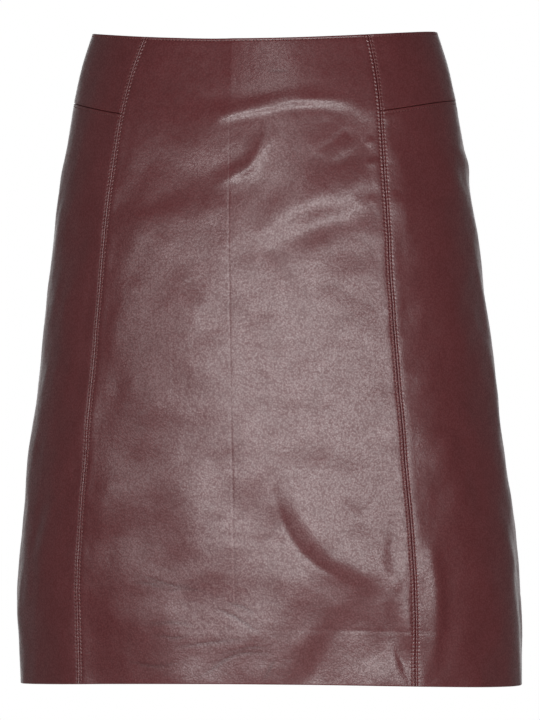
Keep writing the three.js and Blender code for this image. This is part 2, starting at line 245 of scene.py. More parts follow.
# How far drawn folds lift the leather, and a mask of the thin troughs whose colour is darkened with
# painted shade: a bell across the nearest place of each smooth line.
def drawnLift(angle, below):
    lift, mark = np.zeros(angle.shape), np.zeros(angle.shape)
    for points, width, height, *shape in drawnFolds:
        skew, peak = shape or evenShape
        drawn = np.array(points, float)
        knots = np.arange(len(drawn), dtype=float)
        fine = np.linspace(0, knots[-1], 70)
        middle = drawn.mean(axis=0)
        reach = girthReach(middle[0] * degree, middle[1])
        lineAround = (smoothThrough(knots, drawn[:, 0], fine) - middle[0]) * degree * reach
        lineDown = smoothThrough(knots, drawn[:, 1], fine)
        steps = np.hypot(np.diff(lineAround), np.diff(lineDown))
        run = np.concatenate([[0], np.cumsum(steps)])
        onwardAround, onwardDown = np.gradient(lineAround, run), np.gradient(lineDown, run)
        turned = angle - middle[0] * degree
        around = np.arctan2(np.sin(turned), np.cos(turned)) * reach
        edge = 3 * width
        near = (around > lineAround.min() - edge) & (around < lineAround.max() + edge)
        near &= (below > lineDown.min() - edge) & (below < lineDown.max() + edge)
        if not near.any():
            continue
        offAround = around[near][:, None] - lineAround
        offDown = below[near][:, None] - lineDown
        closest = np.argmin(offAround**2 + offDown**2, axis=1)
        pick = np.arange(len(closest)), closest
        ahead = offAround[pick] * onwardAround[closest] + offDown[pick] * onwardDown[closest]
        across = offAround[pick] * onwardDown[closest] - offDown[pick] * onwardAround[closest]
        along = np.clip((run[closest] + ahead) / run[-1], 0, 1)
        side = np.where(across > 0, width * (1 + skew), width * (1 - skew))
        rise = np.sin(math.pi * along ** (math.log(0.5) / math.log(peak)))
        hump = rise * bell(across, side)
        lift[near] += height * hump
        # thin troughs also give a mask for painted shade in the leather's colour
        if width < 2 and height < 0:
            mark[near] = np.maximum(mark[near], hump)
    return lift, mark


# Pressed lines down the front where the skirt was folded: depth and angle of the line's ends, how far it
# bows in degrees, half its breadth, its depth in the leather, and how steeply the leather leans beside it.
pressed = [
    {"below": (15, 462), "angle": (-3.2, -0.4), "bow": 0.42, "width": 0.8, "depth": 0.2, "tilt": 0.13},
    {"below": (105, 345), "angle": (-18.2, -14.8), "bow": 0, "width": 1.3, "depth": 0.07, "tilt": 0},
]
pressedFade = {"in": (0, 0.3), "out": (0.72, 1), "reach": 30, "leaning": (40, 78)}


# Angle of a pressed line at a depth: straight between its ends, with a slight bow.
def pressedAngle(line, below):
    t = np.clip((below - line["below"][0]) / (line["below"][1] - line["below"][0]), 0, 1)
    first, last = line["angle"]
    return (first + (last - first) * t + line["bow"] * 4 * t * (1 - t)) * degree


# A pressed line is a narrow bell-shaped groove that fades at both ends. Near the waist the leather also
# leans away on its right side, as it does where a fold was pressed hardest.
def pressedLift(angle, below):
    lift = np.zeros(np.broadcast(angle, below).shape)
    for line in pressed:
        across = (angle - pressedAngle(line, below)) * girthReach(0.0, 250.0)
        t = (below - line["below"][0]) / (line["below"][1] - line["below"][0])
        fade = smoothstep(t, *pressedFade["in"]) * (1 - smoothstep(t, *pressedFade["out"]))
        lift -= line["depth"] * fade * bell(across, line["width"])
        beyond = np.maximum(-across, 0)
        leaning = beyond * np.exp(-beyond / pressedFade["reach"])
        lift -= line["tilt"] * leaning * (1 - smoothstep(below, *pressedFade["leaning"]))
    return lift


# Soft unevenness of a worn hide: plane waves through space, so that it runs on across the seams.
unevenness = [
    {"count": 14, "length": (45, 90), "height": 0.16},
    {"count": 18, "length": (18, 40), "height": 0.045},
]
waves = []
for band in unevenness:
    for _ in range(band["count"]):
        direction = random.normal(size=3)
        direction /= np.linalg.norm(direction)
        turn = 2 * math.pi / random.uniform(*band["length"])
        waves.append((direction * turn, random.uniform(0, 2 * math.pi), band["height"]))


# The sum of the waves: each a sine along its own direction.
def swell(points):
    lift = np.zeros(points.shape[:-1])
    for direction, phase, height in waves:
        lift += height * np.sin(points @ direction + phase)
    return lift


# At the waist the front is drawn in and the swell is calm; both fade with depth.
waistPull = {"drawnIn": 1.8, "fades": 60, "frontOnly": 0.7, "calm": 0.35, "wakes": (20, 120)}


# The leather's own surface before its seams are sewn in: the form lifted by folds, creases and swell.
def skinLift(angle, below):
    points = formPoint(angle, below)
    awake = smoothstep(below, *waistPull["wakes"])
    calm = waistPull["calm"] + (1 - waistPull["calm"]) * awake
    drawnIn = waistPull["drawnIn"] * (1 - smoothstep(below, 0, waistPull["fades"]))
    return (
        -drawnIn * smoothstep(np.cos(angle), 0, waistPull["frontOnly"])
        + foldLift(angle, below, folds)
        + drawnLift(angle, below)[0]
        + pressedLift(angle, below)
        + swell(points) * calm
    )


# Depth of the waist's edge: it dips towards the centre front and the centre back.
def waistEdge(angle):
    dip = np.where(np.cos(angle) > 0, form["waistDipFront"], form["waistDipBack"])
    return dip * np.cos(angle) ** 2


# Depth of the hem's edge: the full length, less a rise towards the centre front.
def hemEdge(angle):
    return form["length"] - form["hemRise"] * np.maximum(np.cos(angle), 0) ** 2


# Depth of the hip seam: it curves up towards the side.
def hipSeam(angle):
    return form["hipDepth"] + form["hipDip"] * np.cos(angle) ** 2


# An angle moved round the form by a distance.
def shiftAngle(angle, below, distance):
    return angle + distance / girthReach(angle, below)


# A front princess seam: its own angle, closed in and swung aside near the waist, both dying with depth.
def frontSeam(side, offset):
    def line(below):
        apart = form["princess"] - form["closingIn"][0] * np.exp(-below / form["closingIn"][1])
        atWaist, fade, lower = form["frontSwing"]
        swing = atWaist * np.exp(-below / fade) + lower * (1 - below / form["length"])
        return shiftAngle((side * apart + swing) * degree, below, offset)

    return line


# A back princess seam mirrors the front ones and runs straight down.
def backSeam(side, offset):
    return lambda below: shiftAngle(side * (180 - form["princess"]) * degree, below, offset)


# The back panels stand apart along the zip and close to a plain seam under it.
def centreBack(side):
    def line(below):
        closing = smoothstep(below, form["zipLength"], form["zipLength"] + form["zipRunOut"])
        gap = form["zipGap"] + (form["seamGap"] - form["zipGap"]) * closing
        return shiftAngle(side * math.pi, below, -side * gap / 2)

    return line


# How an edge of a panel is finished: the radius of its turn, the stitch groove's distance from the
# edge and its depth, the height and breadth of the allowance glued behind it, and how far the inner
# face turns too.
edgeFacts = ("turn", "row", "groove", "step", "breadth", "inner")
edgeKinds = {
    "topstitched": (0.75, 2.1, 0.24, 0.22, 9, 0),
    "plain": (0.75, 2.1, 0, 0.22, 9, 0),
    "held": (0.7, 2.2, 0.22, 0.22, 8, 0),
    "zip": (0.9, 1.9, 0, 0.3, 14, 0),
    "waist": (0.6, 2.0, 0.18, 0, 10, 0.6),
    "hem": (0.7, 1.9, 0, 0, 10, 1.2),
}
edgeKinds = {kind: dict(zip(edgeFacts, facts)) for kind, facts in edgeKinds.items()}


# Depth lost to a quarter-round turn of the given radius.
def quarterTurn(distance, radius):
    if radius == 0:
        return np.zeros_like(distance)
    into = radius - np.clip(distance, 0, radius)
    return radius - np.sqrt(np.maximum(radius**2 - into**2, 0))


# What stitches and turned edges do: the pad along an edge (height, place, breadth), how broad the groove
# of the stitches is, and how much and how far they draw down the leather round them.
sewn = {"pad": (0.1, 1.0, 0.5), "groove": 0.36, "drawn": (0.6, 2.2)}


# What an edge does to the outer face: it turns in, pads a little and is drawn down under the stitches.
def edgeRelief(distance, kind):
    facts = edgeKinds[kind]
    padHeight, padPlace, padBreadth = sewn["pad"]
    padded = (kind != "hem") * padHeight * bell(distance - padPlace, padBreadth)
    beyondRow = distance - facts["row"]
    groove = -facts["groove"] * bell(beyondRow, sewn["groove"])
    pull = -sewn["drawn"][0] * facts["groove"] * bell(beyondRow, sewn["drawn"][1])
    step = facts["step"] * (1 - smoothstep(distance, facts["row"] + 1, facts["breadth"] + 3))
    return padded + groove + pull + step


# The trace of the hem allowance: its strength all round, and more of it at one angle, over a spread.
hemTrace = {"all": 0.03, "more": 0.13, "at": 38, "spread": 20, "layer": 0.3, "groove": 1.1}


# Where the hem allowance ends inside, it marks the leather, more on the left side than elsewhere.
def hemMark(angle, fromHem):
    aside = angle / degree - hemTrace["at"]
    strength = hemTrace["all"] + hemTrace["more"] * bell(aside, hemTrace["spread"])
    layer = hemTrace["layer"] * (1 - smoothstep(fromHem, form["hemTurn"] - 0.8, form["hemTurn"] + 1.2))
    return strength * (layer - bell(fromHem - form["hemTurn"], hemTrace["groove"]))


edgeSteps = np.array([0, 0.1, 0.24, 0.42, 0.64, 0.92, 1.24, 1.55, 1.85, 2.15, 2.5, 3, 3.8])
pressSteps = np.array([-2.6, -1.8, -1.2, -0.75, -0.4, 0, 0.4, 0.75, 1.2, 1.8, 2.6])


# Columns of a panel's grid, each between two lines: (line, offset, next line, offset, share).
def columnPlan(lines, spacing, multiple):
    middle = form["length"] / 2
    plan = []
    for index, (line, steps) in enumerate(lines):
        plan += [(line, step, line, step, 0.0) for step in steps]
        if index == len(lines) - 1:
            break
        following, nextSteps = lines[index + 1]
        first, last = line(middle), following(middle)
        gap = (last - first) * girthReach((last + first) / 2, middle)
        count = max(2, round(float(gap) / spacing))
        if index == len(lines) - 2:
            total = len(plan) + count - 1 + len(nextSteps)
            count += -(total - 1) % multiple
        shares = np.arange(1, count) / count
        plan += [(line, steps[-1], following, nextSteps[0], share) for share in shares]
    return plan


# Angle of one planned column at some depths.
def columnAngle(column, below):
    line, offset, following, nextOffset, share = column
    first = shiftAngle(line(below), below, offset)
    if share == 0:
        return first
    last = shiftAngle(following(below), below, nextOffset)
    return first + (last - first) * share


# The depth where each column meets an edge: each turn takes the edge at the angle the last depth gave.
def meets(plan, edge):
    below = np.full(len(plan), form["length"] / 2)
    for _ in range(4):
        below = edge(np.array([float(columnAngle(column, b)) for column, b in zip(plan, below)]))
    return below


# A panel's grid of angles and depths, close together at its edges and even between them.
def panelGrid(lines, top, bottom, spacing, rowSpacing, multiples):
    plan = columnPlan(lines, spacing, multiples[1])
    highest, lowest = meets(plan, top), meets(plan, bottom)
    rows = len(edgeSteps) * 2 + int(np.max(lowest - highest) / rowSpacing)
    rows += -(rows - 1) % multiples[0]
    fill = np.linspace(0, 1, rows - 2 * len(edgeSteps) + 2)[1:-1, None]
    upper = highest + edgeSteps[:, None]
    lower = lowest - edgeSteps[::-1, None]
    below = np.vstack([upper, upper[-1] + (lower[0] - upper[-1]) * fill, lower])
    angle = np.stack([columnAngle(column, below[:, k]) for k, column in enumerate(plan)], axis=1)
    return angle, below, highest, lowest


# A mesh from its points, its faces' corners in one run, and each face's size, slot and smoothness.
def fillMesh(name, points, corners, sizes, slots, smooth, materials):
    mesh = bpy.data.meshes.new(name)
    mesh.vertices.add(len(points))
    mesh.vertices.foreach_set("co", (points * mm).ravel())
    mesh.loops.add(len(corners))
    mesh.loops.foreach_set("vertex_index", corners.astype(np.int32))
    mesh.polygons.add(len(sizes))
    starts = np.concatenate([[0], np.cumsum(sizes)[:-1]])
    mesh.polygons.foreach_set("loop_start", starts.astype(np.int32))
    mesh.polygons.foreach_set("material_index", slots.astype(np.int32))
    mesh.polygons.foreach_set("use_smooth", smooth)
    mesh.update(calc_edges=True)
    for material in materials:
        mesh.materials.append(material)
    piece = bpy.data.objects.new(name, mesh)
    bpy.context.scene.collection.objects.link(piece)
    return piece


# Lays a mesh out flat, from a place in millimetres for each of its points.
def layOut(piece, label, places, corners):
    piece.data.uv_layers.new(name=label).data.foreach_set("uv", (places[corners] * mm).ravel())


# A closed shell: a fine outer grid, an inner grid of every few points, and rims of many-sided faces.
def shellMesh(name, outer, inner, multiples, materials, uv, attributes):
    rows, columns = outer.shape[:2]
    downStep, acrossStep = multiples
    coarse = inner[::downStep, ::acrossStep]
    fine = np.arange(rows * columns).reshape(rows, columns)
    back = rows * columns + np.arange(coarse[..., 0].size).reshape(coarse.shape[:2])
    outerFaces = np.stack([fine[:-1, :-1], fine[1:, :-1], fine[1:, 1:], fine[:-1, 1:]], -1).reshape(-1, 4)
    innerFaces = np.stack([back[:-1, :-1], back[:-1, 1:], back[1:, 1:], back[1:, :-1]], -1).reshape(-1, 4)

    def rim(edge, backEdge, step):
        starts = np.arange(len(backEdge) - 1)
        run = edge[starts[:, None] * step + np.arange(step + 1)]
        return np.hstack([run, backEdge[1:, None], backEdge[:-1, None]])

    across = [rim(fine[0], back[0], acrossStep), rim(fine[-1], back[-1], acrossStep)[:, ::-1]]
    down = [rim(fine[:, 0], back[:, 0], downStep)[:, ::-1], rim(fine[:, -1], back[:, -1], downStep)]
    groups = [(outerFaces, 0, True), (innerFaces, 1, True)]
    groups += [(faces, 0, False) for faces in across + down]
    corners = np.concatenate([faces.ravel() for faces, _, _ in groups])
    sizes = np.concatenate([np.full(len(faces), faces.shape[1]) for faces, _, _ in groups])
    slots = np.concatenate([np.full(len(faces), slot) for faces, slot, _ in groups])
    smooth = np.concatenate([np.full(len(faces), flag) for faces, _, flag in groups])
    points = np.vstack([outer.reshape(-1, 3), coarse.reshape(-1, 3)])
    piece = fillMesh(name, points, corners, sizes, slots, smooth, materials)
    places = np.vstack([uv.reshape(-1, 2), uv[::downStep, ::acrossStep].reshape(-1, 2)])
    layOut(piece, "cut", places, corners)
    for label, values in attributes.items():
        both = np.concatenate([values.ravel(), values[::downStep, ::acrossStep].ravel()])
        piece.data.attributes.new(label, "FLOAT", "POINT").data.foreach_set("value", both)
    return piece


stitch = {
    "pitch": 2.8,
    "length": 2.1,
    "width": 0.54,
    "height": 0.42,
    "lift": 0.08,  # how far the middle of a stitch stands off its groove
    "dive": 0.3,  # how far its ends go into the leather
    "slant": 5,
    "leanSpread": 2,  # how unevenly they lean, in degrees, and lie
    "placeSpread": 0.04,
    "rings": 6,
    "sides": 6,
    "hole": (1.0, 0.8),  # the disc of painted shade at a needle hole, along the row and across it
}

# A colour as written in hex, turned from sRGB to linear.
def colour(text):
    channels = np.array([int(text[i : i + 2], 16) for i in (1, 3, 5)]) / 255
    linear = np.where(channels <= 0.04045, channels / 12.92, ((channels + 0.055) / 1.055) ** 2.4)
    return (*linear, 1)


# Adds a node with its settings, and sets or links its inputs.
def addNode(tree, kind, inputs=None, **settings):
    made = tree.nodes.new(f"ShaderNode{kind}")
    for key, value in settings.items():
        setattr(made, key, value)
    for socket, value in (inputs or {}).items():
        if isinstance(value, bpy.types.NodeSocket):
            tree.links.new(value, made.inputs[socket])
        else:
            made.inputs[socket].default_value = value
    return made


# An empty material and its node tree.
def newMaterial(name):
    material = bpy.data.materials.new(name)
    material.use_nodes = True
    material.node_tree.nodes.clear()
    return material, material.node_tree


# Scale of a texture whose features are so many millimetres across.
def perMillimetre(size):
    return 1000 / size

# Nodes that the materials share, each giving its output. Here, noise with features of a size.
def addNoise(tree, place, size, detail, roughness):
    inputs = {"Vector": place, "Scale": perMillimetre(size), "Detail": detail, "Roughness": roughness}
    return addNode(tree, "TexNoise", inputs).outputs["Fac"]


# One value times another.
def addProduct(tree, first, second):
    return addNode(tree, "Math", {0: first, 1: second}, operation="MULTIPLY").outputs[0]


# From the first colour to the second as the factor goes from nought to one.
def addMix(tree, factor, first, second):
    inputs = {"Factor": factor, "A": first, "B": second}
    return addNode(tree, "Mix", inputs, data_type="RGBA").outputs["Result"]


# A value carried from one range to another.
def addRange(tree, value, low, high, toLow, toHigh):
    inputs = {"Value": value, "From Min": low, "From Max": high, "To Min": toLow, "To Max": toHigh}
    return addNode(tree, "MapRange", inputs).outputs["Result"]


# A mesh's own value at its points.
def addAttribute(tree, label):
    return addNode(tree, "Attribute", attribute_name=label).outputs["Fac"]


# A relief so many millimetres high, laid over another.
def addBump(tree, height, depth, under=None, **settings):
    inputs = {"Height": height, "Distance": depth * mm, "Strength": 1}
    if under:
        inputs["Normal"] = under
    return addNode(tree, "Bump", inputs, **settings).outputs["Normal"]


# Diagonal stripes in a mesh's own layout, so many millimetres from one to the next.
def addStripes(tree, label, pitch):
    layout = addNode(tree, "UVMap", uv_map=label).outputs["UV"]
    inputs = {"Vector": layout, "Scale": perMillimetre(pitch) / (2 * math.pi), "Distortion": 0}
    return addNode(tree, "TexWave", inputs, bands_direction="DIAGONAL").outputs["Fac"]


# Ends a material with one shader, set from its inputs.
def endMaterial(material, inputs):
    shader = addNode(material.node_tree, "BsdfPrincipled", inputs)
    addNode(material.node_tree, "OutputMaterial", {"Surface": shader.outputs["BSDF"]})
    return material


# Aniline-dyed lamb nappa with a thin clear finish: smooth, with a satin gloss that its fine grain and the
# hide's softness break up, paler where seams turn it over, and darkened with painted shade in its thin
# creases.
nappaLook = {
    "dye": "#602629",
    "deep": "#552022",
    "worn": "#6E3433",
    # the dye that gathers in the pores, also used as painted shade in thin creases
    "poreAndCreaseShade": "#30090B",
    "grain": 1.25,  # drawn a little coarser than real nappa's half millimetre, so that it shows
    "grainDepth": 0.07,
    "poreRange": (0.1, 0.55, 0, 0.3),  # from the middle of a grain to its rim: how far the dye darkens
    "coatRange": (0.15, 0.6, 1, 0.15),  # and how much of the clear finish is left
    "creaseShadeStrength": 0.4,  # how far painted shade darkens a thin crease, and a seam's turn pales
    "rubbed": 0.2,
    "crumple": 6,
    "crumpleDepth": 0.07,
    "cloud": 18,
    "cloudDepth": 0.5,
    "cloudCoat": (0.35, 0.65, 0.75, 1),
    "pucker": 0.14,
    "roughness": (0.34, 0.42),
    "coatRoughness": 0.29,
}


def makeNappa():
    look = nappaLook
    material, tree = newMaterial("lambNappaSatinFinish")
    place = addNode(tree, "TexCoord").outputs["Object"]
    cloud = addNoise(tree, place, look["cloud"], 2, 0.5)
    crumple = addNoise(tree, place, look["crumple"], 2, 0.5)
    grain = addNode(tree, "TexVoronoi", {
        "Vector": place, "Scale": perMillimetre(look["grain"]), "Randomness": 0.9,
    }, feature="SMOOTH_F1").outputs["Distance"]
    seam = addAttribute(tree, "turned")
    tint = addMix(tree, cloud, colour(look["deep"]), colour(look["dye"]))
    tint = addMix(tree, addRange(tree, grain, *look["poreRange"]), tint, colour(look["poreAndCreaseShade"]))
    # thin creases are darkened towards the pores' colour: painted shade
    paintedCreaseShade = addProduct(tree, addAttribute(tree, "creaseShadeMask"), look["creaseShadeStrength"])
    tint = addMix(tree, paintedCreaseShade, tint, colour(look["poreAndCreaseShade"]))
    tint = addMix(tree, addProduct(tree, seam, look["rubbed"]), tint, colour(look["worn"]))
    gloss = addRange(tree, crumple, 0.3, 0.7, *look["roughness"])
    # the clear finish lies thin in the creases of the grain, where the hide is looser and on the seams
    thin = addRange(tree, grain, *look["coatRange"])
    loose = addRange(tree, cloud, *look["cloudCoat"])
    flat = addNode(tree, "Math", {0: 1, 1: seam}, operation="SUBTRACT").outputs[0]
    finish = addProduct(tree, addProduct(tree, thin, loose), flat)
    relief = addBump(tree, cloud, look["cloudDepth"])
    relief = addBump(tree, crumple, look["crumpleDepth"], relief)
    relief = addBump(tree, grain, look["grainDepth"], relief, invert=True)
    # beside a seam the leather swells between stitches and dips at each needle hole
    cut = addNode(tree, "UVMap", uv_map="cut").outputs["UV"]
    down = addNode(tree, "SeparateXYZ", {"Vector": cut}).outputs["Y"]
    phase = addProduct(tree, down, 2 * math.pi * perMillimetre(stitch["pitch"]))
    beat = addNode(tree, "Math", {0: phase}, operation="COSINE").outputs[0]
    relief = addBump(tree, addProduct(tree, beat, addAttribute(tree, "strip")), look["pucker"], relief)
    return endMaterial(material, {
        "Base Color": tint, "Roughness": gloss, "IOR": 1.5, "Normal": relief, "Coat Normal": relief,
        "Coat Weight": finish, "Coat Roughness": look["coatRoughness"], "Coat IOR": 1.5,
    })


# The flesh side of the same hide, sueded: quite matt, paler and blotchy, with short fibres.
fleshLook = {"base": "#6E4644", "shade": "#5A3434", "fibre": 0.9, "fibreDepth": 0.08, "blotch": 14}


def makeFlesh():
    look = fleshLook
    material, tree = newMaterial("lambFleshSideSueded")
    place = addNode(tree, "TexCoord").outputs["Object"]
    blotch = addNoise(tree, place, look["blotch"], 4, 0.6)
    fibre = addNoise(tree, place, look["fibre"], 2, 0.7)
    return endMaterial(material, {
        "Base Color": addMix(tree, blotch, colour(look["shade"]), colour(look["base"])),
        "Roughness": 0.92, "Sheen Weight": 0.2, "Sheen Roughness": 0.5, "Specular IOR Level": 0.25,
        "Normal": addBump(tree, fibre, look["fibreDepth"]),
    })


# Bonded polyester topstitching thread: a twisted, slightly shiny cord in a shade above the leather.
threadLook = {"light": "#854F4B", "dark": "#5A3231", "twist": 0.5}


def makeThread():
    look = threadLook
    material, tree = newMaterial("polyesterThreadBonded")
    ply = addStripes(tree, "twist", look["twist"])
    tint = addMix(tree, ply, colour(look["dark"]), colour(look["light"]))
    return endMaterial(material, {"Base Color": tint, "Roughness": 0.65, "IOR": 1.5})


# Polyester zip tape: a matt twill woven tight, dyed to the leather.
tapeLook = {"warp": "#4A2528", "weft": "#3A1B1E", "thread": 0.8, "depth": 0.08}


def makeTape():
    look = tapeLook
    material, tree = newMaterial("polyesterTapeWoven")
    weave = addStripes(tree, "cut", look["thread"])
    return endMaterial(material, {
        "Base Color": addMix(tree, weave, colour(look["weft"]), colour(look["warp"])),
        "Roughness": 0.85, "Normal": addBump(tree, weave, look["depth"]),
    })


# Polyester monofilament zip coil: hard, smooth and slightly glossy, dyed with the tape.
coilLook = {"base": "#44242A", "roughness": 0.35}


def makeCoil():
    material, tree = newMaterial("polyesterCoilMonofilament")
    tint = colour(coilLook["base"])
    return endMaterial(material, {"Base Color": tint, "Roughness": coilLook["roughness"], "IOR": 1.5})


# Die-cast zinc with gunmetal plating: dark, fairly smooth metal with faint handling marks.
metalLook = {"plate": "#6B6462", "mark": 1.6, "roughness": (0.24, 0.42)}


def makeGunmetal():
    look = metalLook
    material, tree = newMaterial("zincCastGunmetalPlated")
    place = addNode(tree, "TexCoord").outputs["Object"]
    mark = addNoise(tree, place, look["mark"], 4, 0.65)
    polish = addRange(tree, mark, 0.35, 0.65, *look["roughness"])
    return endMaterial(material, {"Base Color": colour(look["plate"]), "Metallic": 1, "Roughness": polish})


# A needle hole drawn as a flat dark disc on the leather: painted shade where the hole would lie dark,
# quite matt.
holeShadeLook = {"paintedHoleShade": "#2A1012", "shine": 0.1}


def makeHoleShade():
    material, tree = newMaterial("needleHolePaintedShade")
    tint = colour(holeShadeLook["paintedHoleShade"])
    shine = holeShadeLook["shine"]
    return endMaterial(material, {"Base Color": tint, "Roughness": 1, "Specular IOR Level": shine})


nappa, flesh, thread, holeShade = makeNappa(), makeFlesh(), makeThread(), makeHoleShade()
tapeWeave, gunmetal = makeTape(), makeGunmetal()
print("materials made")

halfSeam = form["seamGap"] / 2
# Beside a seam the leather puckers in two strips (strength, place from the row, breadth). Behind it lies
# the glued allowance, and the inner faces close by a share of the gap that dies over a distance.
seamBack = {
    "strips": ((1, -0.7, 0.7), (0.35, 0.7, 0.6)),
    "allowance": 0.6,
    "closing": (0.85, 1.2),
    "rubbed": 0.9,  # how far the worn look reaches from the edge
}


# A panel between two seam lines and two edges: outside, the form lifted by its folds, less each edge's
# turn; inside, the same less the wall, which is thicker over seam and hem allowances.
def panel(name, lines, top, bottom, kinds, spacing, rowSpacing, multiples=(4, 2)):
    angle, below, highest, lowest = panelGrid(lines, top, bottom, spacing, rowSpacing, multiples)
    start, end = lines[0][0](below), lines[-1][0](below)
    distances = {
        "start": (angle - start) * girthReach(start, below),
        "end": (end - angle) * girthReach(end, below),
        "top": below - highest,
        "bottom": lowest - below,
    }
    base, normal = formPoint(angle, below), formNormal(angle, below)
    reach = girthReach(angle, below)
    lift = skinLift(angle, below)
    turned, innerTurn, extra, strip, relief = (np.zeros_like(angle) for _ in range(5))
    for edge, distance in distances.items():
        facts = edgeKinds[kinds[edge]]
        relief += edgeRelief(distance, kinds[edge])
        turned = np.maximum(turned, quarterTurn(distance, facts["turn"]))
        innerTurn = np.maximum(innerTurn, quarterTurn(distance, facts["inner"]))
        if facts["groove"] and edge in ("start", "end"):
            for strength, place, breadth in seamBack["strips"]:
                strip = np.maximum(strip, strength * bell(distance - facts["row"] - place, breadth))
        if facts["step"]:
            layer = 1 - smoothstep(distance, facts["breadth"], facts["breadth"] + 1)
            extra = np.maximum(extra, seamBack["allowance"] * layer)
    wall = np.full_like(angle, form["leather"])
    if kinds["bottom"] == "hem":
        relief += hemMark(angle, distances["bottom"])
        layer = 1 - smoothstep(distances["bottom"], form["hemTurn"] - 1, form["hemTurn"])
        wall += form["hemLayer"] * layer
    outer = base + normal * (lift + relief - turned)[..., None]
    # the inner faces all but meet behind each seam, so that no light comes through it
    share, fade = seamBack["closing"]
    closed = {edge: halfSeam * share * np.exp(-distance / fade) for edge, distance in distances.items()}
    innerAngle = angle + (closed["end"] - closed["start"]) / reach
    innerBelow = below - closed["top"] * (kinds["top"] == "held")
    innerBelow = innerBelow + closed["bottom"] * (kinds["bottom"] == "plain")
    inner = formPoint(innerAngle, innerBelow) + normal * (lift - wall - extra + innerTurn)[..., None]
    nearest = np.minimum.reduce(list(distances.values()))
    uv = np.stack([angle * reach, below], axis=-1)
    # the mask of thin creases whose colour is darkened with painted shade
    creaseShadeMask = drawnLift(angle, below)[1]
    attributes = {"turned": np.exp(-nearest / seamBack["rubbed"]), "strip": strip, "creaseShadeMask": creaseShadeMask}
    piece = shellMesh(f"{name}_leather", outer, inner, multiples, [nappa, flesh], uv, attributes)
    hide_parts(name)
    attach(piece, "skirt")


front = {
    "lines": [
        (frontSeam(-1, halfSeam), edgeSteps),
        (lambda below: pressedAngle(pressed[0], below), pressSteps),
        (frontSeam(1, -halfSeam), -edgeSteps[::-1]),
    ],
    "kinds": {"start": "topstitched", "end": "topstitched", "top": "waist", "bottom": "hem"},
}
panel("front_panel", front["lines"], waistEdge, hemEdge, front["kinds"], 1.3, 1.3)

for sideName, side in (("left", 1), ("right", -1)):
    sidePair = [frontSeam(side, side * halfSeam), backSeam(side, -side * halfSeam)]
    backPair = [backSeam(side, side * halfSeam), centreBack(side)]
    sideEdges, backEdges = ["topstitched", "topstitched"], ["topstitched", "zip"]
    if side < 0:
        sidePair.reverse()
        backPair.reverse()
        backEdges.reverse()
    sideLines = [(sidePair[0], edgeSteps), (sidePair[1], -edgeSteps[::-1])]
    backLines = [(backPair[0], edgeSteps), (backPair[1], -edgeSteps[::-1])]
    sideKinds = {"start": sideEdges[0], "end": sideEdges[1]}
    backKinds = {"start": backEdges[0], "end": backEdges[1], "top": "waist", "bottom": "hem"}
    panel(f"yoke_{sideName}", sideLines, waistEdge, lambda angle: hipSeam(angle) - halfSeam,
          {**sideKinds, "top": "waist", "bottom": "plain"}, 1.8, 1.5)
    panel(f"side_panel_{sideName}", sideLines, lambda angle: hipSeam(angle) + halfSeam, hemEdge,
          {**sideKinds, "top": "held", "bottom": "hem"}, 1.8, 1.8)
    panel(f"back_panel_{sideName}", backLines, waistEdge, hemEdge, backKinds, 1.6, 1.6)
print("panels made")

# One stitch: an oval tube along its length whose ends shrink and dive, as rings of points.
def stitchShape():
    along = np.linspace(-1, 1, stitch["rings"])[:, None]
    turn = np.linspace(0, 2 * math.pi, stitch["sides"], endpoint=False)[None, :]
    swelling = np.sqrt(1 - 0.8 * along**4)
    x = along * stitch["length"] / 2 + 0 * turn
    y = swelling * np.cos(turn) * stitch["width"] / 2
    z = swelling * np.sin(turn) * stitch["height"] / 2 - stitch["dive"] * along**2
    return np.stack([x, y, z], -1)

# Faces of such a tube: a strip of them between each ring and the next, and a cap at each end.
def tubeFaces(rings, sides):
    index = np.arange(rings * sides).reshape(rings, sides)
    onto = np.roll(index, -1, axis=1)
    tube = np.stack([index[:-1], onto[:-1], onto[1:], index[1:]], -1).reshape(-1, 4)
    return [*tube, index[0][::-1], index[-1]]
# Places at even steps along a line on the form.
def evenly(angle, below):
    points = formPoint(angle, below)
    travelled = np.concatenate([[0], np.cumsum(np.linalg.norm(np.diff(points, axis=0), axis=1))])
    count = int(travelled[-1] / stitch["pitch"])
    at = (np.arange(count) + 0.5) * travelled[-1] / count
    return np.interp(at, travelled, angle), np.interp(at, travelled, below)


# A joined mesh of one shape, set out at each centre along its three axes.
def joinedMesh(name, shape, centres, axes, faces, layout, slots, materials):
    count, each = len(centres), len(shape)
    points = centres[:, None, :] + np.einsum("pk,nkx->npx", shape, axes)
    starts = np.arange(count) * each
    corners = np.concatenate([(face[None] + starts[:, None]).ravel() for face in faces])
    sizes, slots = np.repeat([len(face) for face in faces], count), np.repeat(slots, count)
    smooth = np.ones(len(sizes), bool)
    piece = fillMesh(name, points.reshape(-1, 3), corners, sizes, slots, smooth, materials)
    layOut(piece, "twist", np.tile(layout, (count, 1)), corners)
    return piece
